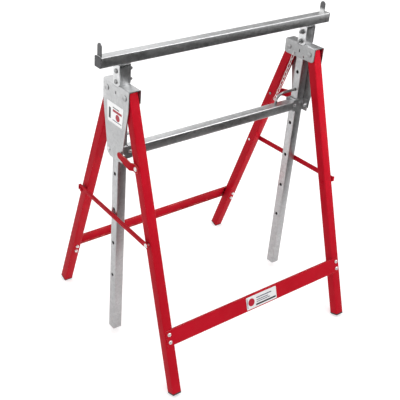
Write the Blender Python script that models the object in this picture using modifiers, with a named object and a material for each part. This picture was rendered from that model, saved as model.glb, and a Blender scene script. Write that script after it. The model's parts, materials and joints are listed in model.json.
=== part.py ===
"""Height-adjustable folding sawhorse.

Row frame: X along the support beam, -Y towards the labelled leg pair, +Z up, origin on the floor
under the centre of the beam. Units are metres. The beam stands at its lowest setting and the legs
are fully open. The left end is the right end turned half a turn about the vertical axis.
"""
import math

import bmesh
import bpy
from mathutils import Matrix, Vector

# Tubes
TUBE = 0.025
WALL = 0.0015
TUBE_RADIUS = 0.0025
SHEET = 0.0025
GAP = 0.0003

# Support beam and its end fittings
BEAM_LENGTH = 0.700
BEAM_TOP = 0.794
CAP_THICKNESS = 0.0025
STOP_WIDTH = 0.016
STOP_HEIGHT = 0.030
STOP_THICKNESS = 0.0025
STOP_X = {"left": -0.345, "right": 0.331}

# Posts: sliding square tubes with a row of locking holes
POST_X = 0.286
POST_BOTTOM = 0.019
POST_TOP = 0.7625
PIN_HOLE_Z = 0.5893
HOLE_PITCH = 0.0993
HOLE_COUNT = 5
HOLE_RADIUS = 0.0048
SPARE_HOLE_Z = 0.6395
SADDLE_BOLT_Z = {"upper": 0.7520, "lower": 0.7265}

# Saddles and head brackets, folded from one gauge of sheet
SADDLE_WIDTH = 0.026
SADDLE_TOP = 0.7685
SADDLE_BOTTOM = 0.7160
HEAD_TOP = 0.7195
HEAD_HALF_WIDTH = 0.0535
HEAD_BOTTOM = 0.5315
INNER_CHEEK_BOTTOM = 0.6815
OUTER_FACE = 0.3013
INNER_FACE = 0.2690
CHAIN_HOLE = (0.0172, 0.6880)

# Legs
LEG_X = 0.2845
LEG_PIVOT_Y = 0.0371
LEG_PIVOT_Z = 0.700
LEG_ANGLE = math.atan(0.336)
LEG_ABOVE_PIVOT = 0.012
FOOT_PAD = 0.0037
LEG_LENGTH = (LEG_PIVOT_Z - 0.5 * TUBE * math.sin(LEG_ANGLE)) / math.cos(LEG_ANGLE)

# Cross members between the legs: channels with narrow flanges
CHANNEL_HEIGHT = 0.042
CHANNEL_CENTRE = 0.5849
CHANNEL_WALL = 0.0015
CHANNEL_FLANGE = 0.0055
CHANNEL_HALF_LENGTH = 0.293
CHANNEL_BOLTS = {"upper": 0.5750, "lower": 0.5950}

# Tie bar and post guides, which are shaped like an H in plan
TIE_BAR_TOP = 0.5585
GUIDE_TOP = 0.5645
GUIDE_WALL = 0.0020
GUIDE_INNER = 0.2690
GUIDE_TAIL = 0.2600
GUIDE_ARM = 0.0130
GUIDE_REACH = 0.0305
GUIDE_BOLT_Y = 0.0240
GUIDE_BOLT_Z = 0.5475
GUIDE_RIVET = (0.2665, 0.5490)

# Locking pins
PIN_RADIUS = 0.0035
PIN_ARM = {"left": 0.038, "right": 0.066}
PIN_BEND = {"left": 0.011, "right": 0.033}
CHAIN_RADIUS = 0.0012

# Braces on the outside of the legs; positions are (y, z) beside the rear leg
STRUT_PIVOT = (0.1485, 0.3735)
STRUT_REST = (0.1475, 0.3720)
STRUT_INNER = 0.3024
STRUT_WIDTH = 0.014
STRUT_NECK = 0.0045
LINK_INNER = 0.3046
LINK_FOOT_INNER = 0.2976
LINK_PIVOT = (0.0875, 0.5450)
LINK_EYE = (0.0285, 0.5545)


def clear_scene():
    for item in list(bpy.data.objects):
        bpy.data.objects.remove(item, do_unlink=True)


def collection(name):
    made = bpy.data.collections.new(name)
    bpy.context.scene.collection.children.link(made)
    return made


def material(name, colour, metallic, roughness):
    made = bpy.data.materials.new(name)
    made.use_nodes = True
    shader = made.node_tree.nodes["Principled BSDF"]
    shader.inputs["Base Color"].default_value = (*colour, 1.0)
    shader.inputs["Metallic"].default_value = metallic
    shader.inputs["Roughness"].default_value = roughness
    return made


clear_scene()
PARTS = collection("folding_sawhorse")
CUTTERS = collection("cutters")
GALVANISED = material("galvanised_steel", (0.62, 0.63, 0.64), 1.0, 0.42)
BRIGHT = material("bright_zinc", (0.75, 0.76, 0.78), 1.0, 0.25)
RED = material("red_paint", (0.62, 0.012, 0.025), 0.0, 0.38)
PLASTIC = material("dark_grey_plastic", (0.06, 0.06, 0.065), 0.0, 0.55)
RUBBER = material("black_foot_plastic", (0.02, 0.02, 0.022), 0.0, 0.6)
LABEL = material("white_label", (0.85, 0.85, 0.85), 0.0, 0.4)


# Outlines, as lists of (x, y) points

def filleted(points, radius, steps=3):
    """A closed polygon with each corner rounded; radius is one value or one for each corner."""
    radii = radius if isinstance(radius, (list, tuple)) else [radius] * len(points)
    corners = [Vector(p) for p in points]
    made = []
    for i, corner in enumerate(corners):
        before = (corners[i - 1] - corner).normalized()
        after = (corners[(i + 1) % len(corners)] - corner).normalized()
        if radii[i] <= 0.0:
            made.append(tuple(corner))
            continue
        half = 0.5 * before.angle(after)
        reach = radii[i] / math.tan(half)
        centre = corner + (before + after).normalized() * radii[i] / math.sin(half)
        start = corner + before * reach - centre
        end = corner + after * reach - centre
        sweep = start.angle_signed(end)
        for k in range(steps + 1):
            turn = Matrix.Rotation(-sweep * k / steps, 2)
            made.append(tuple(centre + turn @ start))
    return made


def rectangle(x0, y0, x1, y1, radius=0.0, steps=3):
    return filleted([(x0, y0), (x1, y0), (x1, y1), (x0, y1)], radius, steps)


def circle(x, y, radius, count=12):
    turns = [2.0 * math.pi * (k + 0.5) / count for k in range(count)]
    return [(x + radius * math.cos(t), y + radius * math.sin(t)) for t in turns]


# Solids

def add(name, mesh, look):
    made = bpy.data.objects.new(name, mesh)
    PARTS.objects.link(made)
    if look is not None:
        mesh.materials.append(look)
    return made


def prism_mesh(loops, low, high):
    """A flat outline with holes, thickened along local Z from low to high."""
    curve = bpy.data.curves.new("outline", "CURVE")
    curve.dimensions = "2D"
    curve.fill_mode = "BOTH"
    curve.extrude = 0.5 * (high - low)
    for loop in loops:
        spline = curve.splines.new("POLY")
        spline.points.add(len(loop) - 1)
        for point, (x, y) in zip(spline.points, loop):
            point.co = (x, y, 0.0, 1.0)
        spline.use_cyclic_u = True
    holder = bpy.data.objects.new("outline", curve)
    bpy.context.scene.collection.objects.link(holder)
    bpy.context.view_layer.update()
    graph = bpy.context.evaluated_depsgraph_get()
    mesh = bpy.data.meshes.new_from_object(holder.evaluated_get(graph))
    bpy.data.objects.remove(holder, do_unlink=True)
    bpy.data.curves.remove(curve)
    body = bmesh.new()
    body.from_mesh(mesh)
    bmesh.ops.remove_doubles(body, verts=body.verts, dist=0.00001)
    bmesh.ops.translate(body, verts=body.verts, vec=(0.0, 0.0, 0.5 * (low + high)))
    bmesh.ops.recalc_face_normals(body, faces=body.faces)
    body.to_mesh(mesh)
    body.free()
    return mesh


TURNS = {
    "z": Matrix.Identity(4),
    "x": Matrix(((0, 0, 1, 0), (1, 0, 0, 0), (0, 1, 0, 0), (0, 0, 0, 1))),
    "y": Matrix(((1, 0, 0, 0), (0, 0, -1, 0), (0, 1, 0, 0), (0, 0, 0, 1))),
}


def prism(name, look, loops, low, high, axis="z"):
    """Outlines lie in XY for axis z, in YZ for axis x and in XZ for axis y (which runs along -Y)."""
    mesh = prism_mesh(loops, low, high)
    mesh.transform(TURNS[axis])
    return add(name, mesh, look)


def hide_as_tool(tool, target):
    PARTS.objects.unlink(tool)
    CUTTERS.objects.link(tool)
    tool.parent = target
    tool.hide_render = True
    tool.display_type = "WIRE"


def combine(target, tool, operation="DIFFERENCE"):
    hide_as_tool(tool, target)
    cut = target.modifiers.new(operation.lower(), "BOOLEAN")
    cut.operation = operation
    cut.solver = "EXACT"
    cut.object = tool


def drill(target, holes, low, high, axis="x", count=12):
    """Round holes, given as (u, v, radius), through the target from low to high along an axis."""
    for u, v, radius in holes:
        tool = prism(target.name + "_hole", None, [circle(u, v, radius, count)], low, high, axis)
        combine(target, tool)


def tube(name, look, low, high, axis):
    """A square tube with rounded corners, open at both ends."""
    half = 0.5 * TUBE
    outer = rectangle(-half, -half, half, half, TUBE_RADIUS)
    inner = rectangle(WALL - half, WALL - half, half - WALL, half - WALL, TUBE_RADIUS - WALL, 2)
    return prism(name, look, [outer, inner], low, high, axis)


def turned(name, look, profile, steps=16):
    """A solid of revolution about local Z, from (radius, height) points listed top to bottom."""
    mesh = bpy.data.meshes.new(name)
    points = [(radius, 0.0, height) for radius, height in profile]
    mesh.from_pydata(points, [(k, k + 1) for k in range(len(points) - 1)], [])
    made = add(name, mesh, look)
    spin = made.modifiers.new("turn", "SCREW")
    spin.steps = steps
    spin.render_steps = steps
    spin.use_merge_vertices = True
    spin.merge_threshold = 0.00001
    return made


def rivet(name, look, head_radius, head_height, shank_radius, top, bottom, tail_radius=0.0):
    """A domed rivet whose outer head stands on height top and whose tail ends at height bottom."""
    profile = [
        (0.0, top + head_height),
        (0.55 * head_radius, top + 0.85 * head_height),
        (0.88 * head_radius, top + 0.45 * head_height),
        (head_radius, top),
        (shank_radius, top),
    ]
    if tail_radius:
        profile += [
            (shank_radius, bottom),
            (tail_radius, bottom),
            (0.8 * tail_radius, bottom - 0.7 * head_height),
            (0.0, bottom - 0.9 * head_height),
        ]
    else:
        profile += [(shank_radius, bottom), (0.0, bottom)]
    return turned(name, look, profile)


def bolt(
    name, head_radius, head_height, shank_radius, top, bottom, nut_radius, nut_height, spare=0.0025
):
    """A button-head bolt with its hexagon nut run up to height bottom, and spare thread past it."""
    made = rivet(
        name, BRIGHT, head_radius, head_height, shank_radius, top, bottom - nut_height - spare
    )
    hexagon = circle(0.0, 0.0, nut_radius, 6)
    nut = prism(name + "_nut", None, [hexagon], bottom - nut_height, bottom)
    combine(made, nut, "UNION")
    return made


def face_along(item, direction):
    """Turn local +Z to a signed axis of the parent."""
    angles = {
        "+x": (0.0, 0.5 * math.pi, 0.0),
        "-x": (0.0, -0.5 * math.pi, 0.0),
        "+y": (-0.5 * math.pi, 0.0, 0.0),
        "-y": (0.5 * math.pi, 0.0, 0.0),
    }
    item.rotation_euler = angles[direction]


def side_anchor(side):
    """An empty at the floor origin; the left one is turned half a turn about Z."""
    anchor = bpy.data.objects.new("side_" + side, None)
    PARTS.objects.link(anchor)
    anchor.rotation_euler.z = 0.0 if side == "right" else math.pi
    return anchor


# Support beam

def make_beam():
    half = 0.5 * BEAM_LENGTH
    centre = BEAM_TOP - 0.5 * TUBE
    reach = half - CAP_THICKNESS - GAP
    beam = tube("top_beam", GALVANISED, -reach, reach, "x")
    beam.location.z = centre
    for side in ("left", "right"):
        edge = 0.5 * TUBE
        high, wide = STOP_X[side] + 0.5 * STOP_THICKNESS + GAP, 0.5 * STOP_WIDTH + GAP
        slot = [rectangle(high - STOP_THICKNESS - 2.0 * GAP, -wide, high, wide)]
        combine(beam, prism("stop_slot", None, slot, 0.0, edge + 0.002))
        bore = edge - WALL - GAP
        plate = [rectangle(-edge, -edge, edge, edge, TUBE_RADIUS)]
        cap = prism("beam_end_cap_" + side, PLASTIC, plate, half - CAP_THICKNESS, half, "x")
        plug_outline = [rectangle(-bore, -bore, bore, bore, 0.001, 2)]
        plug = prism("cap_plug", None, plug_outline, half - 0.014, half - 0.5 * CAP_THICKNESS, "x")
        combine(cap, plug, "UNION")
        cap.location.z = centre
        cap.rotation_euler.z = 0.0 if side == "right" else math.pi
        stop = prism(
            "end_stop_" + side,
            GALVANISED,
            [stop_outline()],
            -0.5 * STOP_THICKNESS,
            0.5 * STOP_THICKNESS,
            "x",
        )
        stop.location = (STOP_X[side], 0.0, BEAM_TOP)


def stop_outline():
    half = 0.5 * STOP_WIDTH
    corners = [(-half, -WALL), (half, -WALL), (half, STOP_HEIGHT), (-half, STOP_HEIGHT)]
    return filleted(corners, [0.0, 0.0, 0.0075, 0.0075], 4)


# Posts, saddles, head brackets and guides: modelled at the right-hand end

def make_post(side, anchor):
    post = tube("post_" + side, GALVANISED, POST_BOTTOM, POST_TOP, "z")
    heights = [PIN_HOLE_Z - k * HOLE_PITCH for k in range(HOLE_COUNT)] + [SPARE_HOLE_Z]
    drill(post, [(0.0, z, HOLE_RADIUS) for z in heights], -0.02, 0.02, count=16)
    drill(post, [(0.0, z, 0.0036) for z in SADDLE_BOLT_Z.values()], -0.02, 0.02)
    post.location.x = POST_X
    post.parent = anchor


def make_saddle(side, anchor):
    edge, half = 0.5 * TUBE, 0.5 * SADDLE_WIDTH
    outer, inner = OUTER_FACE, POST_X - edge - GAP - SHEET
    section = [
        (inner, SADDLE_BOTTOM),
        (inner + SHEET, SADDLE_BOTTOM),
        (inner + SHEET, SADDLE_TOP - SHEET),
        (outer - SHEET, SADDLE_TOP - SHEET),
        (outer - SHEET, SADDLE_BOTTOM),
        (outer, SADDLE_BOTTOM),
        (outer, SADDLE_TOP),
        (inner, SADDLE_TOP),
    ]
    bends = [0.0, 0.0, 0.0006, 0.0006, 0.0, 0.0, 0.0025, 0.0025]
    section = [filleted(section, bends, 2)]
    saddle = prism("saddle_" + side, GALVANISED, section, -half - 0.001, half + 0.001, "y")
    face = [
        (-half, SADDLE_BOTTOM - 0.00005),
        (half, SADDLE_BOTTOM - 0.00005),
        (half, SADDLE_TOP + 0.001),
        (-half, SADDLE_TOP + 0.001),
    ]
    trim = prism("saddle_trim", None, [filleted(face, [0.008, 0.008, 0.0, 0.0], 4)], 0.25, 0.32, "x")
    combine(saddle, trim, "INTERSECT")
    drill(saddle, [(0.0, z, 0.0036) for z in SADDLE_BOLT_Z.values()], 0.25, 0.32)
    saddle.parent = anchor
    for place, height in SADDLE_BOLT_Z.items():
        name = "saddle_bolt_" + side + "_" + place
        nut_face = inner - GAP - 0.0020
        made = bolt(name, 0.0058, 0.0036, 0.0032, outer + GAP, nut_face, 0.0056, 0.0050, 0.0045)
        made.location = (0.0, 0.0, height)
        face_along(made, "+x")
        made.parent = anchor


def make_head(side, anchor):
    half = HEAD_HALF_WIDTH
    outer, inner = OUTER_FACE, INNER_FACE
    section = [
        (inner, INNER_CHEEK_BOTTOM),
        (inner + SHEET, INNER_CHEEK_BOTTOM),
        (inner + SHEET, HEAD_TOP - SHEET),
        (outer - SHEET, HEAD_TOP - SHEET),
        (outer - SHEET, HEAD_BOTTOM),
        (outer, HEAD_BOTTOM),
        (outer, HEAD_TOP),
        (inner, HEAD_TOP),
    ]
    bends = [0.0, 0.0, 0.0006, 0.0006, 0.0, 0.0, 0.0028, 0.0028]
    name = "head_bracket_" + side
    head = prism(name, GALVANISED, [filleted(section, bends, 2)], -half, half, "y")
    low, top = HEAD_BOTTOM - 0.00005, HEAD_TOP + 0.001
    taper = [
        (-0.0190, low),
        (0.0190, low),
        (0.0315, 0.5400),
        (0.0330, 0.5600),
        (half - 0.0005, 0.6720),
        (half - 0.0001, top),
        (-half + 0.0001, top),
        (-half + 0.0005, 0.6720),
        (-0.0330, 0.5600),
        (-0.0315, 0.5400),
    ]
    rounds = [0.004, 0.004, 0.004, 0.0, 0.0, 0.0, 0.0, 0.0, 0.0, 0.004]
    trim = prism("head_trim", None, [filleted(taper, rounds, 3)], 0.25, 0.32, "x")
    combine(head, trim, "INTERSECT")
    surround = rectangle(-0.070, 0.660, 0.070, 0.735)
    cheek = filleted([(-0.054, 0.6814), (0.054, 0.6814), (0.054, 0.73), (-0.054, 0.73)], 0.010, 4)
    combine(head, prism("cheek_trim", None, [surround, cheek], 0.25, inner + SHEET + 0.0001, "x"))
    clear = 0.5 * TUBE + GAP
    opening = [rectangle(POST_X - clear, -clear, POST_X + clear, clear)]
    combine(head, prism("post_opening", None, opening, 0.70, 0.74))
    notch, floor = 0.5 * SADDLE_WIDTH + 0.0005, SADDLE_BOTTOM - 0.0005
    seat = [(-notch, floor), (notch, floor), (notch, 0.74), (-notch, 0.74)]
    seat = [filleted(seat, [0.008, 0.008, 0.0, 0.0], 4)]
    combine(head, prism("saddle_notch", None, seat, 0.25, 0.32, "x"))
    pivots = [(-LEG_PIVOT_Y, LEG_PIVOT_Z, 0.0043), (LEG_PIVOT_Y, LEG_PIVOT_Z, 0.0043)]
    bolts = [(-GUIDE_BOLT_Y, GUIDE_BOLT_Z, 0.0033), (GUIDE_BOLT_Y, GUIDE_BOLT_Z, 0.0033)]
    chain = [(-CHAIN_HOLE[0], CHAIN_HOLE[1], 0.0022), (CHAIN_HOLE[0], CHAIN_HOLE[1], 0.0022)]
    drill(head, pivots + bolts, 0.25, 0.32, count=16)
    drill(head, chain, 0.25, 0.28)
    slot = filleted([(-0.0018, 0.696), (0.0018, 0.696), (0.0018, 0.704), (-0.0018, 0.704)], 0.0017)
    combine(head, prism("key_slot", None, [slot], 0.25, 0.32, "x"))
    head.parent = anchor
    for place, sign in (("front", -1.0), ("rear", 1.0)):
        turn = 1.0 if side == "right" else -1.0
        made = rivet(
            "leg_pivot_" + side + "_" + place,
            BRIGHT,
            0.0075,
            0.0028,
            0.0040,
            outer + GAP,
            inner - GAP,
            0.0065,
        )
        made.location = (0.0, sign * turn * LEG_PIVOT_Y, LEG_PIVOT_Z)
        face_along(made, "+x")
        made.parent = anchor


def make_guide(side, anchor):
    """Cheeks riveted to the tie bar's end, run out past the post and bolted to the head bracket."""
    inner, wall, arm, reach = GUIDE_INNER, GUIDE_WALL, GUIDE_ARM, GUIDE_REACH
    foot = OUTER_FACE - SHEET - GAP
    half = [
        (GUIDE_TAIL, arm + wall),
        (foot - wall, arm + wall),
        (foot - wall, reach),
        (foot, reach),
        (foot, arm + 0.0002),
        (inner + wall, arm + 0.0001),
    ]
    outline = half + [(x, -y) for x, y in reversed(half)]
    outline += [(GUIDE_TAIL, -arm), (inner, -arm), (inner, arm), (GUIDE_TAIL, arm)]
    low, high = GUIDE_TOP - 0.033, GUIDE_TOP
    guide = prism("post_guide_" + side, GALVANISED, [outline], low, high)
    for direction in ("+y", "-y"):
        sunk = arm + wall - 0.0003
        dome = rivet("guide_rivet", None, 0.0045, 0.0026, 0.0035, sunk, sunk - 0.0010)
        dome.location = (GUIDE_RIVET[0], 0.0, GUIDE_RIVET[1])
        face_along(dome, direction)
        combine(guide, dome, "UNION")
    drill(
        guide,
        [(-GUIDE_BOLT_Y, GUIDE_BOLT_Z, 0.0033), (GUIDE_BOLT_Y, GUIDE_BOLT_Z, 0.0033)],
        0.28,
        0.31,
    )
    guide.parent = anchor
    for place, sign in (("front", -1.0), ("rear", 1.0)):
        turn = 1.0 if side == "right" else -1.0
        name = "guide_bolt_" + side + "_" + place
        bottom = foot - wall - GAP
        made = bolt(name, 0.0055, 0.0026, 0.0030, OUTER_FACE + GAP, bottom, 0.0054, 0.0045)
        made.location = (0.0, sign * turn * GUIDE_BOLT_Y, GUIDE_BOLT_Z)
        face_along(made, "+x")
        made.parent = anchor


def make_tie_bar():
    reach = GUIDE_INNER - GAP
    bar = tube("tie_bar", GALVANISED, -reach, reach, "x")
    bar.location.z = TIE_BAR_TOP - 0.5 * TUBE


def smooth_path(points, count):
    """Evenly counted points on a Catmull-Rom curve through the given ones."""
    knots = [Vector(p) for p in points]
    knots = [2.0 * knots[0] - knots[1]] + knots + [2.0 * knots[-1] - knots[-2]]
    spans = len(knots) - 3
    made = []
    for k in range(count):
        place = min(k / (count - 1) * spans, spans - 0.000001)
        i, t = int(place), place - int(place)
        a, b, c, d = knots[i : i + 4]
        made.append(
            0.5
            * (
                2.0 * b
                + (c - a) * t
                + (2.0 * a - 5.0 * b + 4.0 * c - d) * t * t
                + (3.0 * b - a - 3.0 * c + d) * t * t * t
            )
        )
    return made


def rod(name, look, points, radius, rings):
    curve = bpy.data.curves.new(name, "CURVE")
    curve.dimensions = "3D"
    curve.bevel_depth = radius
    curve.bevel_resolution = rings
    curve.use_fill_caps = True
    spline = curve.splines.new("POLY")
    spline.points.add(len(points) - 1)
    for point, place in zip(spline.points, points):
        point.co = (*place, 1.0)
    made = bpy.data.objects.new(name, curve)
    curve.materials.append(look)
    PARTS.objects.link(made)
    return made


def make_pin(side, anchor):
    """A cranked locking rod drawn back so that its tip just clears the post, foot on the tie bar."""
    tip = POST_X - 0.5 * TUBE - GAP
    crank = tip - PIN_ARM[side]
    foot = TIE_BAR_TOP + PIN_RADIUS * 0.2
    run = PIN_BEND[side]
    bend = [
        (crank + run, 0.0, PIN_HOLE_Z),
        (crank + 0.667 * run, 0.0, PIN_HOLE_Z - 0.0010),
        (crank + 0.364 * run, 0.0, PIN_HOLE_Z - 0.0042),
        (crank + 0.136 * run, 0.0, PIN_HOLE_Z - 0.0105),
        (crank + 0.030 * run, 0.0, PIN_HOLE_Z - 0.0190),
        (crank, 0.0, foot),
    ]
    path = [Vector((tip, 0.0, PIN_HOLE_Z))] + smooth_path(bend, 18)
    pin = rod("locking_pin_" + side, BRIGHT, path, PIN_RADIUS, 2)
    pin.parent = anchor
    hole_y, hole_z = CHAIN_HOLE
    start = Vector((INNER_FACE - 0.0025, hole_y, hole_z - 0.003))
    end = Vector((crank - 0.0062, 0.0, PIN_HOLE_Z - 0.0140))
    sag = Vector((0.002, 0.002, -0.006))
    route = [start.lerp(end, t) + sag * 4.0 * t * (1.0 - t) for t in (0.0, 0.25, 0.5, 0.75, 1.0)]
    chain = rod("pin_chain_" + side, BRIGHT, smooth_path(route, 24), CHAIN_RADIUS, 1)
    chain.parent = anchor


def make_head_label(anchor):
    outline = [(-0.030, 0.6215), (0.030, 0.6215), (0.035, 0.6715), (-0.035, 0.6715)]
    face = OUTER_FACE + GAP
    label = prism("head_label", LABEL, [filleted(outline, 0.002, 2)], face, face + 0.0003, "x")
    label.parent = anchor


# Leg pairs, modelled upright below their hinge axis and then swung out

def leg_anchor(pair, sign):
    anchor = bpy.data.objects.new(pair + "_leg_hinge", None)
    PARTS.objects.link(anchor)
    anchor.location = (0.0, sign * LEG_PIVOT_Y, LEG_PIVOT_Z)
    anchor.rotation_euler.x = sign * LEG_ANGLE
    return anchor


def down_leg(y, z):
    """A point beside a leg, as (outwards, down the leg) from its hinge."""
    out, drop = y - LEG_PIVOT_Y, LEG_PIVOT_Z - z
    turn_in, turn_down = math.cos(LEG_ANGLE), math.sin(LEG_ANGLE)
    return out * turn_in - drop * turn_down, out * turn_down + drop * turn_in


def make_stud(name):
    """A shouldered stud that a strut rests on, riveted through both walls of the leg."""
    edge = 0.5 * TUBE
    head = STRUT_INNER + SHEET + 2.0 * GAP
    face, tail = LEG_X + edge + GAP, LEG_X - edge - GAP
    profile = [
        (0.0, head + 0.0026),
        (0.0044, head + 0.0022),
        (0.0055, head + 0.0006),
        (0.0055, head),
        (0.0038, head),
        (0.0038, face),
        (0.0030, face),
        (0.0030, tail),
        (0.0050, tail),
        (0.0042, tail - 0.0018),
        (0.0, tail - 0.0022),
    ]
    return turned(name, RED, profile)


def make_leg(pair, side, anchor, braced):
    """Braced legs carry the pivots of the strut and the link; the others the strut's rest."""
    sign = 1.0 if side == "right" else -1.0
    out = 1.0 if pair == "rear" else -1.0
    bottom = FOOT_PAD + GAP - LEG_LENGTH
    leg = tube(pair + "_leg_" + side, RED, bottom, LEG_ABOVE_PIVOT, "z")
    holes = []
    for place in (LINK_PIVOT, STRUT_PIVOT) if braced else (STRUT_REST,):
        offset, depth = down_leg(*place)
        holes.append((out * offset, -depth))
    drill(leg, [(0.0, 0.0, 0.0043)], -0.02, 0.02, count=16)
    drill(leg, [(0.0, -depth, 0.0030) for depth in CHANNEL_BOLTS.values()], -0.02, 0.02, "y")
    drill(leg, [(y, z, 0.0033) for y, z in holes], -0.02, 0.02)
    leg.location.x = sign * LEG_X
    leg.parent = anchor
    edge = 0.5 * TUBE
    pad = [rectangle(-edge, -edge, edge, edge, TUBE_RADIUS)]
    cap = prism(pair + "_foot_cap_" + side, RUBBER, pad, -LEG_LENGTH, FOOT_PAD - LEG_LENGTH)
    bore = edge - WALL - GAP
    stem = [rectangle(-bore, -bore, bore, bore, 0.001, 2)]
    low = 0.5 * FOOT_PAD - LEG_LENGTH
    combine(cap, prism("cap_stem", None, stem, low, low + 0.014), "UNION")
    cap.location.x = sign * LEG_X
    cap.parent = anchor
    if braced:
        tail = LEG_X - edge - GAP
        pieces = []
        for name, inner, place in (
            ("link_pivot_", LINK_FOOT_INNER, holes[0]),
            ("strut_pivot_", STRUT_INNER, holes[1]),
        ):
            top = inner + SHEET + GAP
            made = rivet(name + side, BRIGHT, 0.0058, 0.0026, 0.0030, top, tail, 0.0055)
            pieces.append((made, place))
    else:
        pieces = [(make_stud("strut_stud_" + side), holes[0])]
    for piece, (y, z) in pieces:
        piece.location = (0.0, y, z)
        face_along(piece, "+x" if side == "right" else "-x")
        piece.parent = anchor


def make_channel(pair, sign, anchor):
    """A channel whose web lies on the outer faces of the legs, with its flanges between them."""
    half, edge = 0.5 * CHANNEL_HEIGHT, 0.5 * TUBE
    back, front = edge + GAP, edge + GAP + CHANNEL_WALL
    tip = front - CHANNEL_FLANGE
    mid = -CHANNEL_CENTRE
    section = [
        (front, mid - half),
        (front, mid + half),
        (tip, mid + half),
        (tip, mid + half - CHANNEL_WALL),
        (back, mid + half - CHANNEL_WALL),
        (back, mid - half + CHANNEL_WALL),
        (tip, mid - half + CHANNEL_WALL),
        (tip, mid - half),
    ]
    rounds = [0.0018, 0.0018, 0.0, 0.0, 0.0004, 0.0004, 0.0, 0.0]
    outline = [(sign * y, z) for y, z in filleted(section, rounds, 2)]
    name = pair + "_cross_bar"
    length = CHANNEL_HALF_LENGTH
    channel = prism(name, RED, [outline], -length, length, "x")
    near = LEG_X - edge - 0.0008
    for end in (-1.0, 1.0):
        ys = sorted((sign * (back + 0.00005), sign * (tip - 0.002)))
        xs = sorted((end * near, end * (length + 0.01)))
        notch = [rectangle(xs[0], ys[0], xs[1], ys[1])]
        combine(channel, prism("notch", None, notch, mid - half - 0.002, mid + half + 0.002))
        holes = [(end * LEG_X, -s, 0.0030) for s in CHANNEL_BOLTS.values()]
        drill(channel, holes, -0.03, 0.03, "y")
    channel.parent = anchor
    for side, end in (("left", -1.0), ("right", 1.0)):
        for place, depth in CHANNEL_BOLTS.items():
            label = pair + "_bar_bolt_" + side + "_" + place
            made = bolt(label, 0.0050, 0.0030, 0.0027, front + GAP, -back, 0.0050, 0.0040)
            made.location = (end * LEG_X, 0.0, -depth)
            face_along(made, "-y" if sign < 0.0 else "+y")
            made.parent = anchor


def make_cross_label(anchor):
    face = 0.5 * TUBE + 2.0 * GAP + CHANNEL_WALL
    outline = rectangle(-0.043, -0.602, 0.059, -0.568, 0.002, 2)
    label = prism("cross_bar_label", LABEL, [outline], face, face + 0.0003, "y")
    label.parent = anchor


# Braces, drawn for the right-hand end, where they belong to the rear leg

def brace_anchor(name, y, z, angle, anchor):
    """An empty on a brace's hinge axis."""
    made = bpy.data.objects.new(name, None)
    PARTS.objects.link(made)
    made.location = (0.0, y, z)
    made.rotation_euler.x = angle
    made.parent = anchor
    return made


def make_strut(side, anchor):
    """A long bar: an eye at its rivet, a hooked end that rests over a stud, and a thumb tab."""
    pivot_y, pivot_z = STRUT_PIVOT
    half = 0.5 * STRUT_WIDTH
    ceiling = STRUT_NECK - half
    span = pivot_y + STRUT_REST[0]
    climb = STRUT_REST[1] + 0.0038 + GAP - ceiling - pivot_z
    rise = math.atan2(climb, span)
    pivot = brace_anchor("strut_hinge_" + side, pivot_y, pivot_z, -rise, anchor)
    far = math.hypot(span, climb)
    end = far + 0.0095
    face = [
        (0.0080, -half),
        (0.0080, half),
        (-end, half),
        (-end, -half - 0.0010),
        (-far - 0.0058, -half - 0.0010),
        (-far - 0.0046, ceiling),
        (-far + 0.0040, ceiling),
        (-far + 0.0240, -half),
    ]
    face = filleted(face, [0.0065, 0.0065, 0.002, 0.0018, 0.001, 0.001, 0.004, 0.004], 4)
    base, top = STRUT_INNER, STRUT_INNER + SHEET
    path = [
        (base, 0.010),
        (base, -end - 0.0001),
        (base + 0.0060, -end - 0.0001),
        (base + 0.0060, -end + SHEET),
        (top, -end + SHEET),
        (top, 0.010),
    ]
    path = filleted(path, [0.0, 0.002, 0.0, 0.0, 0.0005, 0.0], 2)
    strut = prism("spreader_strut_" + side, RED, [path], -0.03, 0.03)
    combine(strut, prism("strut_face", None, [face], 0.25, 0.35, "x"), "INTERSECT")
    ridge = rectangle(-far + 0.026, -0.0024, -0.018, 0.0024, 0.0023, 3)
    combine(strut, prism("strut_ridge", None, [ridge], top - 0.001, top + 0.0012, "x"), "UNION")
    drill(strut, [(0.0, 0.0, 0.0033)], 0.28, 0.32)
    strut.parent = pivot


def make_link(side, anchor):
    """A short lever riveted to the leg, joggled out so that its eye lies over a guide bolt."""
    in_y, up_z = LINK_PIVOT[0] - LINK_EYE[0], LINK_EYE[1] - LINK_PIVOT[1]
    reach = math.hypot(in_y, up_z)
    rise = math.atan2(up_z, in_y)
    pivot = brace_anchor("link_hinge_" + side, *LINK_PIVOT, -rise, anchor)
    low, high = LINK_FOOT_INNER, LINK_INNER
    path = [
        (low, 0.012),
        (low, -0.0075),
        (high, -0.0145),
        (high, -reach - 0.010),
        (high + SHEET, -reach - 0.010),
        (high + SHEET, -0.0135),
        (low + SHEET, -0.0065),
        (low + SHEET, 0.012),
    ]
    bends = [0.0, 0.001, 0.0015, 0.0, 0.0, 0.0015, 0.001, 0.0]
    link = prism("brace_link_" + side, RED, [filleted(path, bends, 2)], -0.02, 0.02)
    face = [
        (0.0100, -0.0102),
        (0.0100, 0.0102),
        (-0.034, 0.0106),
        (-0.046, 0.0080),
        (-reach - 0.0080, 0.0078),
        (-reach - 0.0080, -0.0078),
        (-0.046, -0.0084),
        (-0.034, -0.0112),
    ]
    face = filleted(face, [0.0098, 0.0098, 0.004, 0.004, 0.0076, 0.0076, 0.004, 0.004], 4)
    combine(link, prism("link_face", None, [face], 0.25, 0.35, "x"), "INTERSECT")
    drill(link, [(0.0, 0.0, 0.0033)], 0.28, 0.32)
    link.parent = pivot


def shade(item):
    if item.type == "MESH":
        item.data.shade_smooth()
        item.data.set_sharp_from_angle(angle=math.radians(35.0))


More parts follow.
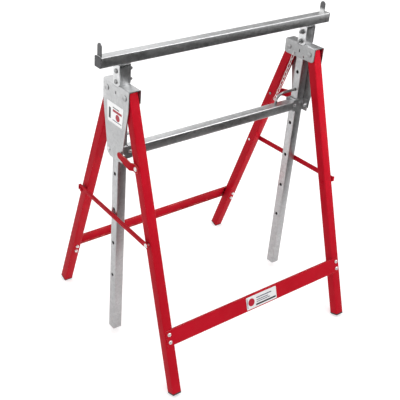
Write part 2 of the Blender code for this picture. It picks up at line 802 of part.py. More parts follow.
def build():
    make_beam()
    make_tie_bar()
    for side in ("left", "right"):
        anchor = side_anchor(side)
        make_post(side, anchor)
        make_saddle(side, anchor)
        make_head(side, anchor)
        make_guide(side, anchor)
        make_pin(side, anchor)
        make_strut(side, anchor)
        make_link(side, anchor)
        if side == "left":
            make_head_label(anchor)
    for pair, sign, braced_side in (("front", -1.0, "left"), ("rear", 1.0, "right")):
        anchor = leg_anchor(pair, sign)
        for side in ("left", "right"):
            make_leg(pair, side, anchor, side == braced_side)
        make_channel(pair, sign, anchor)
        if pair == "front":
            make_cross_label(anchor)
    for item in PARTS.objects:
        shade(item)


build()
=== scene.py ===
"""Looks of the folding sawhorse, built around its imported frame. Metres, row frame."""

import json
import math

import bmesh
import bpy
from mathutils import Matrix, Vector


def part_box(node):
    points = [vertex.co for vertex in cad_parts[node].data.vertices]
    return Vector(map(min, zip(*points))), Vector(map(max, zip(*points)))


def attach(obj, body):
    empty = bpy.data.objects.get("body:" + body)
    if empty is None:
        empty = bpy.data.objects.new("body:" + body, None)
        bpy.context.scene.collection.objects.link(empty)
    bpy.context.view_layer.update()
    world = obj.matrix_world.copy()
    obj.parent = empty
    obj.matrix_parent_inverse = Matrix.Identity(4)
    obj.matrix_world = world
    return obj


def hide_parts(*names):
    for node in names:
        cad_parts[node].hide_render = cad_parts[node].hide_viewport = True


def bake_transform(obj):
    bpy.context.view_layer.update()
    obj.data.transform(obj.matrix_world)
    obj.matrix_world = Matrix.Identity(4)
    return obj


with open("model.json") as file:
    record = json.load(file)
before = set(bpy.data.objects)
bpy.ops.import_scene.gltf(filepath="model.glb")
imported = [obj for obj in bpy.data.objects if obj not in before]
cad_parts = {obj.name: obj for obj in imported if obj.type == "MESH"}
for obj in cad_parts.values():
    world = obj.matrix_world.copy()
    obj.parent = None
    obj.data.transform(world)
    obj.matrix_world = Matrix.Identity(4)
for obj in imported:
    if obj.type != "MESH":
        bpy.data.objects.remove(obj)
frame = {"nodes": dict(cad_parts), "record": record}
NODES = frame["nodes"]
RECORD = frame["record"]
BODY_OF = {n: b for b, members in RECORD["behaviour"]["bodies"].items() for n in members}
SLOT_OF = {s["node"]: s["material_slot"] for s in RECORD["subparts"]}


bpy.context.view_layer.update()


def corners(node):
    """A CAD node's lowest and highest corner, to a hundredth of a millimetre."""
    return [[round(c, 5) for c in corner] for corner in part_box(node)]


BEAM_TOP = corners("top_beam")[1][2]


# Materials

class Shader:
    """A material's node tree, with short calls to add and join nodes."""

    def __init__(self, name):
        self.material = bpy.data.materials.new(name)
        self.material.use_nodes = True
        self.nodes = self.material.node_tree.nodes
        self.links = self.material.node_tree.links
        self.bsdf = self.nodes["Principled BSDF"]
        self.place = self.nodes.new("ShaderNodeTexCoord").outputs["Object"]

    def set(self, **values):
        for name, value in values.items():
            self.bsdf.inputs[name.replace("_", " ")].default_value = value

    def join(self, source, target):
        self.links.new(source, target)

    def noise(self, scale, detail=3.0, rough=0.5):
        node = self.nodes.new("ShaderNodeTexNoise")
        node.inputs["Scale"].default_value = scale
        node.inputs["Detail"].default_value = detail
        node.inputs["Roughness"].default_value = rough
        self.join(self.place, node.inputs["Vector"])
        return node.outputs["Fac"]

    def crystals(self, scale):
        """A random grey for each cell of a Voronoi pattern."""
        cells = self.nodes.new("ShaderNodeTexVoronoi")
        cells.inputs["Scale"].default_value = scale
        self.join(self.place, cells.inputs["Vector"])
        node = self.nodes.new("ShaderNodeSeparateColor")
        self.join(cells.outputs["Color"], node.inputs["Color"])
        return node.outputs["Red"]

    def ranged(self, value, low, high, start=0.0, end=1.0):
        """A value that runs from start to end, mapped to run from low to high and held there."""
        node = self.nodes.new("ShaderNodeMapRange")
        node.inputs["From Min"].default_value = start
        node.inputs["From Max"].default_value = end
        node.inputs["To Min"].default_value = low
        node.inputs["To Max"].default_value = high
        self.join(value, node.inputs["Value"])
        return node.outputs["Result"]

    def maths(self, kind, a, b):
        node = self.nodes.new("ShaderNodeMath")
        node.operation = kind
        for socket, value in zip(node.inputs, (a, b)):
            if isinstance(value, (int, float)):
                socket.default_value = value
            else:
                self.join(value, socket)
        return node.outputs["Value"]

    def mixed(self, factor, first, second, kind="MIX"):
        node = self.nodes.new("ShaderNodeMix")
        node.data_type = "RGBA"
        node.blend_type = kind
        for name, value in (("Factor", factor), ("A", first), ("B", second)):
            socket = [i for i in node.inputs if i.name == name and i.enabled][0]
            if isinstance(value, (int, float)):
                socket.default_value = value
            elif isinstance(value, tuple):
                socket.default_value = (*value, 1.0)
            else:
                self.join(value, socket)
        return [o for o in node.outputs if o.enabled][0]

    def bumped(self, height, strength, distance):
        node = self.nodes.new("ShaderNodeBump")
        node.inputs["Strength"].default_value = strength
        node.inputs["Distance"].default_value = distance
        self.join(height, node.inputs["Height"])
        self.join(node.outputs["Normal"], self.bsdf.inputs["Normal"])


def galvanised(name="galvanised_steel_spangle", shade=1.0):
    """Hot-dip zinc: coarse and fine crystals under a slow cloud of duller metal, times a shade."""
    s = Shader(name)
    s.set(Metallic=1.0)
    coarse, fine = s.crystals(150.0), s.crystals(420.0)
    cloud = s.noise(14.0, 4.0)
    flake = s.maths("ADD", s.maths("MULTIPLY", coarse, 0.65), s.maths("MULTIPLY", fine, 0.35))
    tone = s.mixed(flake, (0.58, 0.585, 0.59), (0.74, 0.745, 0.75))
    tone = s.mixed(s.ranged(cloud, 0.0, 0.40, 0.45, 0.75), tone, (0.50, 0.505, 0.51))
    tone = s.mixed(1.0, tone, (shade, shade, shade), "MULTIPLY")
    s.join(tone, s.bsdf.inputs["Base Color"])
    gloss = s.maths("ADD", s.ranged(flake, 0.30, 0.44), s.ranged(cloud, -0.04, 0.05, 0.3, 0.7))
    s.join(gloss, s.bsdf.inputs["Roughness"])
    grain = s.maths("ADD", s.maths("MULTIPLY", s.noise(900.0, 2.0), 0.5), flake)
    s.bumped(grain, 0.10, 0.0002)
    return s.material


def red_paint():
    """Powder coat with an uneven depth, a fine orange-peel and a little dust."""
    s = Shader("red_powder_coat")
    s.set(Metallic=0.0, Specular_IOR_Level=0.07)
    cloud = s.noise(9.0, 5.0, 0.6)
    tone = s.mixed(s.ranged(cloud, 0.0, 1.0, 0.3, 0.7), (0.335, 0.0018, 0.009), (0.385, 0.0030, 0.013))
    dust = s.ranged(s.noise(38.0, 6.0, 0.7), 0.0, 0.10, 0.52, 0.80)
    tone = s.mixed(dust, tone, (0.36, 0.07, 0.06))
    s.join(tone, s.bsdf.inputs["Base Color"])
    s.join(s.ranged(s.noise(60.0, 5.0, 0.65), 0.30, 0.44, 0.3, 0.7), s.bsdf.inputs["Roughness"])
    s.bumped(s.noise(1300.0, 2.0, 0.5), 0.08, 0.0002)
    return s.material


def edge_highlight_paint():
    """Pale paint in places along the edges of the folded steel: a painted highlight."""
    s = Shader("painted_edge_highlight")
    s.set(Metallic=0.0, Specular_IOR_Level=0.3)
    # Patches where the pale painted highlight shows
    highlight_patches = s.ranged(s.noise(45.0, 6.0, 0.7), 0.0, 1.0, 0.44, 0.62)
    tone = s.mixed(highlight_patches, (0.40, 0.020, 0.018), (0.74, 0.34, 0.27))
    s.join(tone, s.bsdf.inputs["Base Color"])
    s.join(s.ranged(highlight_patches, 0.36, 0.24), s.bsdf.inputs["Roughness"])
    return s.material


def bright_zinc():
    """The polished plating of fasteners, chain and ring."""
    s = Shader("bright_zinc_plate")
    s.set(Metallic=0.6)
    cloud = s.noise(160.0, 3.0)
    tone = s.mixed(cloud, (0.78, 0.745, 0.74), (0.86, 0.83, 0.82))
    s.join(tone, s.bsdf.inputs["Base Color"])
    s.join(s.ranged(cloud, 0.18, 0.32, 0.3, 0.7), s.bsdf.inputs["Roughness"])
    s.bumped(s.noise(2500.0, 2.0), 0.06, 0.0001)
    return s.material


def moulded(name, low, high, rough):
    """Moulded plastic between two colours, with a fine grain."""
    s = Shader(name)
    s.set(Metallic=0.0)
    cloud = s.noise(120.0, 4.0)
    s.join(s.mixed(cloud, low, high), s.bsdf.inputs["Base Color"])
    s.join(s.ranged(cloud, rough - 0.06, rough + 0.06), s.bsdf.inputs["Roughness"])
    s.bumped(s.noise(2200.0, 2.0), 0.15, 0.0002)
    return s.material


def printed_label(name, node, axes, blocks, disc, white):
    """White vinyl printed with plain blocks and a disc, placed in shares of the label's width and height.

    axes is (axis, share at its low end, share at its high end), across and then up. A block is
    (left, low, right, high, colour), and the disc is (across, up, radius, width over height, colour).
    """
    s = Shader(name)
    s.set(Metallic=0.0, Coat_Weight=0.3, Coat_Roughness=0.15)
    split = s.nodes.new("ShaderNodeSeparateXYZ")
    s.join(s.place, split.inputs["Vector"])
    spots = [NODES[node].matrix_world @ v.co for v in NODES[node].data.vertices]
    share = []
    for axis, first, last in axes:
        values = [spot["XYZ".index(axis)] for spot in spots]
        share.append(s.ranged(split.outputs[axis], first, last, min(values), max(values)))
    cloud = s.noise(60.0, 3.0)
    tone = s.mixed(cloud, (white,) * 3, (white + 0.06,) * 3)
    for left, low, right, high, colour in blocks:
        inside = [
            s.maths("GREATER_THAN", share[0], left),
            s.maths("LESS_THAN", share[0], right),
            s.maths("GREATER_THAN", share[1], low),
            s.maths("LESS_THAN", share[1], high),
        ]
        mask = s.maths("MULTIPLY", inside[0], inside[1])
        mask = s.maths("MULTIPLY", mask, s.maths("MULTIPLY", inside[2], inside[3]))
        tone = s.mixed(mask, tone, colour)
    across, up, radius, aspect, colour = disc
    du = s.maths("MULTIPLY", s.maths("SUBTRACT", share[0], across), aspect)
    dv = s.maths("SUBTRACT", share[1], up)
    reach = s.maths("ADD", s.maths("MULTIPLY", du, du), s.maths("MULTIPLY", dv, dv))
    tone = s.mixed(s.maths("LESS_THAN", reach, radius * radius), tone, colour)
    s.join(tone, s.bsdf.inputs["Base Color"])
    s.join(s.ranged(cloud, 0.28, 0.38), s.bsdf.inputs["Roughness"])
    return s.material


def blackened(name, low, high):
    """Steel painted dark above a height as painted shade, and bright below it as a painted reflection."""
    s = Shader(name)
    s.set(Metallic=1.0)
    split = s.nodes.new("ShaderNodeSeparateXYZ")
    s.join(s.place, split.inputs["Vector"])
    # The height where the painted shade gives way to the painted reflection, a little uneven
    shade_height = s.maths("ADD", split.outputs["Z"], s.ranged(s.noise(300.0, 3.0), -0.0015, 0.0015))
    tone = s.mixed(s.ranged(shade_height, 0.0, 1.0, low, high), (0.90, 0.90, 0.90), (0.15, 0.15, 0.155))
    s.join(tone, s.bsdf.inputs["Base Color"])
    s.join(s.ranged(s.noise(140.0, 3.0), 0.28, 0.42), s.bsdf.inputs["Roughness"])
    return s.material


INK = (0.016, 0.016, 0.020)
SOFT_INK = (0.05, 0.06, 0.10)
RED_INK = (0.36, 0.004, 0.02)
HEAD_PRINT = printed_label(
    "head_label_print",
    "head_label",
    (("Y", 1.0, 0.0), ("Z", 0.0, 1.0)),
    (
        (0.12, 0.16, 0.24, 0.70, INK),
        (0.36, 0.58, 0.90, 0.70, RED_INK),
        (0.36, 0.76, 0.74, 0.81, INK),
        (0.36, 0.14, 0.90, 0.18, SOFT_INK),
    ),
    (0.66, 0.38, 0.17, 1.36, RED_INK),
    0.80,
)
BAR_PRINT = printed_label(
    "cross_bar_label_print",
    "cross_bar_label",
    (("X", 0.0, 1.0), ("Z", 0.0, 1.0)),
    (
        (0.33, 0.68, 0.84, 0.76, SOFT_INK),
        (0.33, 0.50, 0.72, 0.57, SOFT_INK),
        (0.33, 0.36, 0.78, 0.42, SOFT_INK),
        (0.30, 0.12, 0.97, 0.25, INK),
        (0.02, 0.12, 0.04, 0.90, SOFT_INK),
    ),
    (0.16, 0.52, 0.31, 3.0, RED_INK),
    # The cross bar label's white is greyed, as painted shade on its brightly lit face
    0.58,
)


MATERIALS = {
    "galvanised_steel": galvanised(),
    "red_paint": red_paint(),
    "zinc_fasteners": bright_zinc(),
    "grey_plastic": moulded("grey_plastic_grain", (0.050, 0.050, 0.054), (0.070, 0.070, 0.074), 0.5),
    "black_plastic": moulded("black_plastic_grain", (0.018, 0.018, 0.019), (0.028, 0.028, 0.03), 0.55),
    "white_label": HEAD_PRINT,
}


# Shapes, as (points, faces) lists

def lathe(profile, steps=28):
    """A solid of revolution about Z from (radius, height) points, ends on the axis closed."""
    points, faces, rings = [], [], []
    for radius, height in profile:
        count = 1 if radius < 1e-7 else steps
        ring = []
        for k in range(count):
            turn = 2.0 * math.pi * k / count
            ring.append(len(points))
            points.append((radius * math.cos(turn), radius * math.sin(turn), height))
        rings.append(ring)
    for upper, lower in zip(rings, rings[1:]):
        for k in range(steps):
            a, b = upper[k % len(upper)], upper[(k + 1) % len(upper)]
            c, d = lower[(k + 1) % len(lower)], lower[k % len(lower)]
            faces.append(tuple(dict.fromkeys((a, d, c, b))))
    return points, [f for f in faces if len(f) > 2]


def dome(radius, low, height, rim=0.18, steps=6):
    """Profile of a button head that stands on height low."""
    start = low + rim * height
    top = height - rim * height
    arc = [0.5 * math.pi * k / steps for k in range(steps + 1)]
    curve = [(radius * math.sin(a), start + top * math.cos(a)) for a in arc]
    return [(0.0, curve[0][1])] + curve[1:] + [(radius, low)]


def hexagon(radius, low, high, bore, chamfer=0.0006, steps=36):
    """A hexagon nut with chamfered corners, open along its bore."""
    points, faces, rings = [], [], []
    flat = radius * math.cos(math.pi / 6.0)
    rows = (
        (bore, low, False),
        (flat * 0.98, low, False),
        (radius, low + chamfer, True),
        (radius, high - chamfer, True),
        (flat * 0.98, high, False),
        (bore + 0.0003, high, False),
        (bore, high - 0.0003, False),
    )
    for size, height, sided in rows:
        ring = []
        for k in range(steps):
            turn = 2.0 * math.pi * k / steps
            corner = flat / math.cos((turn % (math.pi / 3.0)) - math.pi / 6.0)
            reach = corner if sided else size
            ring.append(len(points))
            points.append((reach * math.cos(turn), reach * math.sin(turn), height))
        rings.append(ring)
    for lower, upper in zip(rings, rings[1:] + rings[:1]):
        for k in range(steps):
            n = (k + 1) % steps
            faces.append((lower[k], lower[n], upper[n], upper[k]))
    return points, faces


def threaded(radius, low, high, pitch=0.0009, depth=0.00035, steps=20):
    """A bolt's free end: rings of thread and a chamfered tip at height low."""
    count = max(1, int((high - low - depth) / pitch))
    profile = [(0.0, high), (radius - depth, high)]
    for k in range(count):
        height = high - pitch * k
        profile += [(radius, height - 0.4 * pitch), (radius - depth, height - pitch)]
    profile += [(radius - depth, low + depth), (radius - 2.0 * depth, low), (0.0, low)]
    return lathe(profile, steps)


def washer(radius, low, high, bore):
    """A flat ring with softened outer edges."""
    soft = 0.0003
    profile = [
        (bore, high), (radius - soft, high), (radius, high - soft),
        (radius, low + soft), (radius - soft, low), (bore, low), (bore, high),
    ]
    return lathe(profile)


def swept(path, radius, around, closed=False):
    """A round rod along a list of points."""
    path = [Vector(p) for p in path]
    count = len(path)
    points, faces = [], []
    last = (path[1] - path[-1]) if closed else (path[1] - path[0])
    side = last.orthogonal().normalized()
    for k, centre in enumerate(path):
        if closed:
            along = path[(k + 1) % count] - path[k - 1]
        else:
            along = path[min(k + 1, count - 1)] - path[max(k - 1, 0)]
        along.normalize()
        side = (side - side.dot(along) * along).normalized()
        other = along.cross(side)
        for j in range(around):
            turn = 2.0 * math.pi * j / around
            spot = centre + radius * (math.cos(turn) * side + math.sin(turn) * other)
            points.append(tuple(spot))
    for k in range(count if closed else count - 1):
        a, b = k * around, ((k + 1) % count) * around
        for j in range(around):
            n = (j + 1) % around
            faces.append((a + j, a + n, b + n, b + j))
    if not closed:
        faces.append(tuple(range(around))[::-1])
        faces.append(tuple(range((count - 1) * around, count * around)))
    return points, faces


# Pieces

def piece(name, slot, shapes, place=None, angle=35.0):
    """One mesh object from several (points, faces) shapes, moved by a matrix."""
    place = place or Matrix.Identity(4)
    points, faces = [], []
    for more, corners in shapes:
        base = len(points)
        points += [tuple(place @ Vector(p)) for p in more]
        faces += [tuple(base + k for k in face) for face in corners]
    mesh = bpy.data.meshes.new(name)
    mesh.from_pydata(points, [], faces)
    body = bmesh.new()
    body.from_mesh(mesh)
    bmesh.ops.recalc_face_normals(body, faces=body.faces)
    body.to_mesh(mesh)
    body.free()
    mesh.materials.append(MATERIALS[slot])
    mesh.shade_smooth()
    mesh.set_sharp_from_angle(angle=math.radians(angle))
    made = bpy.data.objects.new(name, mesh)
    bpy.context.scene.collection.objects.link(made)
    return made


def refined(node, width, segments=2, angle=30.0):
    """The CAD node's own shape with its edges rounded, and a painted highlight on those edges where it is
    painted red.
    """
    mesh = NODES[node].data.copy()
    mesh.name = node + "_fine"
    mesh.transform(NODES[node].matrix_world)
    if "custom_normal" in mesh.attributes:
        mesh.attributes.remove(mesh.attributes["custom_normal"])
    body = bmesh.new()
    body.from_mesh(mesh)
    bmesh.ops.remove_doubles(body, verts=body.verts, dist=0.000005)
    bmesh.ops.dissolve_limit(
        body, angle_limit=math.radians(1.0), verts=body.verts, edges=body.edges
    )
    body.to_mesh(mesh)
    body.free()
    made = bpy.data.objects.new(node + "_fine", mesh)
    bpy.context.scene.collection.objects.link(made)
    mesh.materials.clear()
    mesh.materials.append(look_of(node))
    painted = SLOT_OF[node] == "red_paint"
    if painted:
        mesh.materials.append(EDGE_HIGHLIGHT_PAINT)
    mesh.shade_smooth()
    mesh.set_sharp_from_angle(angle=math.radians(angle))
    soft = made.modifiers.new("edges", "BEVEL")
    soft.width = width
    soft.segments = segments
    soft.limit_method = "ANGLE"
    soft.angle_limit = math.radians(angle)
    soft.use_clamp_overlap = True
    # Red parts' rounded edges take the pale paint of the painted highlight
    soft.material = 1 if painted else -1
    soft.harden_normals = True
    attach(made, BODY_OF[node])
    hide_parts(node)


EDGE_HIGHLIGHT_PAINT = edge_highlight_paint()
LEG_SLOPE = 0.336
LEG_ANGLE = math.atan(LEG_SLOPE)
# How far each piece's edges are rounded, by the start of its node's name
FOLDED_EDGES = {
    "top_beam": 0.0004,
    "tie_bar": 0.0004,
    "beam_end_cap": 0.0007,
    "end_stop": 0.0005,
    "post_left": 0.0004,
    "post_right": 0.0004,
    "saddle_left": 0.0005,
    "saddle_right": 0.0005,
    "head_bracket": 0.0005,
    "post_guide": 0.0004,
    "front_leg": 0.0004,
    "rear_leg": 0.0004,
    "front_foot_cap": 0.0007,
    "rear_foot_cap": 0.0007,
    "front_cross_bar": 0.0004,
    "rear_cross_bar": 0.0004,
    "spreader_strut": 0.0004,
    "brace_link": 0.0005,
}

# Looks that differ from those of the node's slot, by the start of its name
OWN_LOOKS = {
    "cross_bar_label": BAR_PRINT,
    # The end stops carry painted shade above a height: the left one from just under the beam's top, the
    # right one above a painted reflection on its lower part
    "end_stop_left": blackened("blackened_stop", BEAM_TOP - 0.009, BEAM_TOP - 0.004),
    "end_stop_right": blackened("right_stop_painted_shade_and_reflection", BEAM_TOP + 0.006, BEAM_TOP + 0.014),
    "saddle_left": galvanised("bright_sheet", 1.32),
    "saddle_right": galvanised("bright_sheet_right", 1.32),
    # The right head bracket's zinc is a darker copy, as painted shade
    "head_bracket_right": galvanised("right_head_painted_shade", 0.70),
    "saddle_bolt": galvanised("dull_zinc_bolt", 0.62),
    "guide_bolt": galvanised("dull_zinc_nut", 1.30),
    "leg_pivot_left": galvanised("dull_zinc_rivet", 0.92),
    # The right leg pivots' zinc is darker than the left ones', as painted shade
    "leg_pivot_right": galvanised("right_rivet_painted_shade", 0.68),
    # The right link pivot is a darker grey copy of the zinc
    "link_pivot_right": galvanised("darker_rivet", 0.45),
    "locking_pin": galvanised("dull_zinc_rod", 0.60),
}


def look_of(node):
    """A node's own look, found by its name or the start of it, or else its slot's."""
    for start, look in OWN_LOOKS.items():
        if node.startswith(start):
            return look
    return MATERIALS[SLOT_OF[node]]


def outward(node):
    """The direction a fastener's head faces."""
    if "bar_bolt" in node:
        sign = -1.0 if node.startswith("front") else 1.0
        return Vector((0.0, sign * math.cos(LEG_ANGLE), math.sin(LEG_ANGLE)))
    return Vector((-1.0 if "left" in node else 1.0, 0.0, 0.0))


def seat(node):
    """A matrix whose Z runs out of the fastener's head, and the node's extent along it."""
    up = outward(node)
    across = Vector((0.0, 0.0, 1.0)) if abs(up.x) > 0.5 else Vector((1.0, 0.0, 0.0))
    other = up.cross(across)
    spots = [NODES[node].matrix_world @ v.co for v in NODES[node].data.vertices]
    middle = [
        0.5 * (min(s.dot(a) for s in spots) + max(s.dot(a) for s in spots)) for a in (across, other)
    ]
    origin = middle[0] * across + middle[1] * other
    turn = Matrix((across, other, up)).transposed().to_4x4()
    heights = [s.dot(up) for s in spots]
    return Matrix.Translation(origin) @ turn, min(heights), max(heights)


# Sizes of the button-head bolts: head radius and height, shank radius, nut radius and height, thread
# that shows past the nut, and room for a washer under it
BOLT_SIZES = {
    "saddle_bolt": (0.0058, 0.0036, 0.0032, 0.0056, 0.0050, 0.0045, 0.0018),
    "guide_bolt": (0.0055, 0.0026, 0.0030, 0.0054, 0.0045, 0.0025, 0.0),
    "front_bar_bolt": (0.0050, 0.0030, 0.0027, 0.0050, 0.0040, 0.0025, 0.0),
    "rear_bar_bolt": (0.0050, 0.0030, 0.0027, 0.0050, 0.0040, 0.0025, 0.0),
}
# Sizes of the rivets: head radius and height, shank radius, set tail's radius and height
RIVET_SIZES = {
    "leg_pivot": (0.0075, 0.0028, 0.0040, 0.0065, 0.0025),
    "link_pivot": (0.0058, 0.0026, 0.0030, 0.0036, 0.0014),
    "strut_pivot": (0.0058, 0.0026, 0.0030, 0.0036, 0.0014),
}


def fasten(node, shapes, place):
    """A finer piece in a node's place, riding on the same body."""
    made = piece(node + "_fine", SLOT_OF[node], shapes, place)
    made.data.materials[0] = look_of(node)
    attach(made, BODY_OF[node])
    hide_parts(node)


def bolt(node, head_radius, head_height, shank, nut_radius, nut_height, spare, under):
    """A button-head bolt with a chamfered nut, a washer if there's room under it, and its thread."""
    place, low, high = seat(node)
    face = high - head_height
    nut_low = low + spare
    nut_high = nut_low + nut_height
    bore = shank - 0.0002  # the thread bites into the nut
    neck = [(shank, face), (shank, nut_high), (0.0, nut_high)]
    shapes = [
        lathe(dome(head_radius, face, head_height) + neck),
        hexagon(nut_radius, nut_low, nut_high, bore),
        threaded(shank, low, nut_high),
    ]
    if under:
        shapes.append(washer(nut_radius * 1.22, nut_high, nut_high + under, bore))
    fasten(node, shapes, place)


def rivet(node, head_radius, head_height, shank, tail_radius, tail_height):
    """A rivet: a broad dome outside, a set tail inside and its shank between them."""
    place, low, high = seat(node)
    face, back = high - head_height, low + tail_height
    outer = lathe(dome(head_radius, face, head_height) + [(shank, face), (shank, back)])
    tail = dome(tail_radius, 0.0, tail_height, 0.25)
    inner = lathe([(shank, back)] + [(r, back - h) for r, h in reversed(tail)])
    fasten(node, [outer, inner], place)


def stud(node):
    """The stud a strut rests on, with a flat-topped head over a plain shoulder."""
    place, low, high = seat(node)
    shank, shoulder, rim = 0.0030, 0.0038, 0.0055
    top = high - 0.0026
    foot = top - 0.0080
    back = low + 0.0022
    head = [
        (0.0, high), (0.0034, high - 0.0001), (0.0044, high - 0.0005), (0.0053, high - 0.0014),
        (rim, high - 0.0021), (rim, top), (shoulder, top), (shoulder, foot), (shank, foot), (shank, back),
    ]
    tail = dome(0.0050, 0.0, 0.0022, 0.25)
    inner = lathe([(shank, back)] + [(r, back - h) for r, h in reversed(tail)])
    fasten(node, [lathe(head), inner], place)


def smoothed(points, count):
    """Points along a Catmull-Rom curve through the given ones."""
    guide = [2.0 * points[0] - points[1]] + points + [2.0 * points[-1] - points[-2]]
    out = []
    for k in range(count + 1):
        along = k / count * (len(points) - 1)
        step = min(int(along), len(points) - 2)
        t = along - step
        a, b, c, d = guide[step : step + 4]
        out.append(
            0.5 * (2.0 * b + (c - a) * t + (2.0 * a - 5.0 * b + 4.0 * c - d) * t * t
                   + (3.0 * b - a - 3.0 * c + d) * t ** 3)
        )
    return out


SIDES = {"left": -1.0, "right": 1.0}
# The right pin's highest corner: how far out its tip is, its radius, and the top of its rod
PIN_TIP, PIN_RADIUS, PIN_TOP = corners("locking_pin_right")[1]
PIN_HEIGHT = PIN_TOP - PIN_RADIUS
PIN_ARM = {"left": 0.038, "right": 0.066}  # from the tip in to the hanging end
PIN_CRANK = {side: PIN_TIP - arm for side, arm in PIN_ARM.items()}
PIN_BEND = {"left": 0.011, "right": 0.033}  # how far along the rod its bend reaches
# The bend as (share of its reach, drop below the rod), from the rod to the hanging end
PIN_CURVE = ((1.0, 0.0), (0.667, 0.001), (0.364, 0.0042), (0.136, 0.0105), (0.030, 0.019), (0.0, 0.0301))


def pin(side):
    """The cranked locking rod, with a chamfered tip."""
    turn, crank, reach = SIDES[side], PIN_CRANK[side], PIN_BEND[side]
    chamfer, taper, around = 0.0013, 0.0010, 24
    bend = [Vector((turn * (crank + reach * x), 0.0, PIN_HEIGHT - z)) for x, z in PIN_CURVE]
    start = Vector((turn * (PIN_TIP - 0.0012), 0.0, PIN_HEIGHT))
    rod = swept([start] + smoothed(bend, 40), PIN_RADIUS, around)
    facing = Matrix.Translation((0.0, 0.0, PIN_HEIGHT)) @ Matrix.Rotation(turn * 0.5 * math.pi, 4, "Y")
    shoulder = PIN_TIP - chamfer
    profile = [(0.0, PIN_TIP), (PIN_RADIUS - taper, PIN_TIP), (PIN_RADIUS, shoulder), (0.0, shoulder)]
    points, faces = lathe(profile, around)
    nose = ([tuple(facing @ Vector(p)) for p in points], faces)
    fasten("locking_pin_" + side, [rod, nose], Matrix.Identity(4))


CHAIN_LINKS = 11
CHAIN_WIRE = 0.0006
# Top of the right chain, just inside its bracket; the left one's is half a turn from it about Z
CHAIN_TOP = (corners("head_bracket_right")[0][0] - 0.0025, 0.0172, 0.6850)
CHAIN_END = (-0.0062, -0.0140)  # outward from the pin's hanging end, and up from its rod
CHAIN_SAG = (0.002, 0.002, -0.006)  # at the chain's middle
LINK_OVERLAP = 0.11  # how far each link reaches into the next, as a share of its length
RING_DROP = 0.0148  # of the ring's centre below the rod
RING_RADIUS = 0.0052
RING_WIRE = 0.0007
HOOK_SHIFT = (0.0007, 0.0015)  # of the hook's centre, outward and up from the chain's top
HOOK_RADIUS = 0.0032
HOOK_WIRE = 0.0008


def link_loop(a, b, side_way, bend=0.0033, steps=20):
    """Points round one long link between two points, bent round at its ends."""
    along = (b - a).normalized()
    straight = 0.5 * (b - a).length - bend
    loop = []
    for j in range(steps):
        angle = 2.0 * math.pi * j / steps
        reach = straight * (1.0 if math.cos(angle) > 0.0 else -1.0) + bend * math.cos(angle)
        loop.append(0.5 * (a + b) + along * reach + side_way * bend * math.sin(angle))
    return loop


def chain(side):
    """Wire links, each turned a quarter from the last, from the bracket's hole to the pin's bend."""
    node = "pin_chain_" + side
    turn = SIDES[side]
    start = Vector((turn * CHAIN_TOP[0], turn * CHAIN_TOP[1], CHAIN_TOP[2]))
    end = Vector((turn * (PIN_CRANK[side] + CHAIN_END[0]), 0.0, PIN_HEIGHT + CHAIN_END[1]))
    sag = Vector((turn * CHAIN_SAG[0], turn * CHAIN_SAG[1], CHAIN_SAG[2]))
    shapes = []
    for k in range(CHAIN_LINKS):
        ends = [t / CHAIN_LINKS for t in (k - LINK_OVERLAP, k + 1 + LINK_OVERLAP)]
        a, b = (start.lerp(end, t) + sag * 4.0 * t * (1.0 - t) for t in ends)
        along = (b - a).normalized()
        across = along.cross(Vector((0.0, 1.0, 0.0))).normalized()
        side_way = across if k % 2 else along.cross(across)
        shapes.append(swept(link_loop(a, b, side_way), CHAIN_WIRE, 6, closed=True))
    made = piece(node + "_links", SLOT_OF[node], shapes)
    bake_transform(made)
    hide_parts(node)


def pin_ring(side):
    """The wire ring round the pin's bend, which the last link hangs in."""
    turn, steps = SIDES[side], 24
    middle = Vector((turn * PIN_CRANK[side], 0.0, PIN_HEIGHT - RING_DROP))
    across = Vector((0.0, 1.0, 0.0))
    tilted = Vector((turn * 0.6, 0.0, -0.8)).cross(across)
    ring = []
    for j in range(steps):
        angle = 2.0 * math.pi * j / steps
        ring.append(middle + RING_RADIUS * (math.cos(angle) * tilted + math.sin(angle) * across))
    made = piece("pin_ring_" + side, "zinc_fasteners", [swept(ring, RING_WIRE, 8, closed=True)])
    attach(made, "pin_" + side)


def chain_hook(side):
    """The open hook in the bracket's hole, which the first link hangs on."""
    turn, steps = SIDES[side], 16
    out, up = HOOK_SHIFT
    middle = Vector((turn * (CHAIN_TOP[0] + out), turn * CHAIN_TOP[1], CHAIN_TOP[2] + up))
    hook = []
    for j in range(steps + 1):
        angle = math.pi * (-0.5 + 1.5 * j / steps)
        hook.append(middle + HOOK_RADIUS * Vector((turn * math.cos(angle), 0.0, math.sin(angle))))
    made = piece("chain_hook_" + side, "zinc_fasteners", [swept(hook, HOOK_WIRE, 8)])
    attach(made, "frame")


def weld(name, body, start, end, width, normal, beads=14):
    """A rippled fillet of weld metal between two points."""
    start, end, normal = Vector(start), Vector(end), Vector(normal).normalized()
    along = (end - start).normalized()
    across = along.cross(normal)
    points, faces, around = [], [], 8
    count = beads * 3
    for k in range(count + 1):
        t = k / count
        taper = min(1.0, 6.0 * t, 6.0 * (1.0 - t)) ** 0.5
        swell = width * max(0.25, taper) * (1.0 + 0.12 * math.sin(2.0 * math.pi * beads * t))
        for j in range(around):
            angle = 2.0 * math.pi * j / around
            spot = start.lerp(end, t) + swell * (math.cos(angle) * across + math.sin(angle) * normal)
            points.append(tuple(spot))
    for k in range(count):
        for j in range(around):
            n = (j + 1) % around
            faces.append((k * around + j, k * around + n, (k + 1) * around + n, (k + 1) * around + j))
    faces.append(tuple(range(around)))
    faces.append(tuple(range(count * around, (count + 1) * around)))
    made = piece(name, "galvanised_steel", [(points, faces)])
    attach(made, body)


def saddle_welds(side):
    """Fillets under the beam, along both faces of a saddle's top."""
    turn = SIDES[side]
    low, high = corners("saddle_right")
    half, height = high[1] - 0.0020, high[2]
    for edge, x in (("outer", high[0]), ("inner", low[0])):
        start, end = (turn * x, -half, height), (turn * x, half, height)
        weld("saddle_weld_" + edge + "_" + side, "lift", start, end, 0.0011, (turn, 0.0, 0.0))


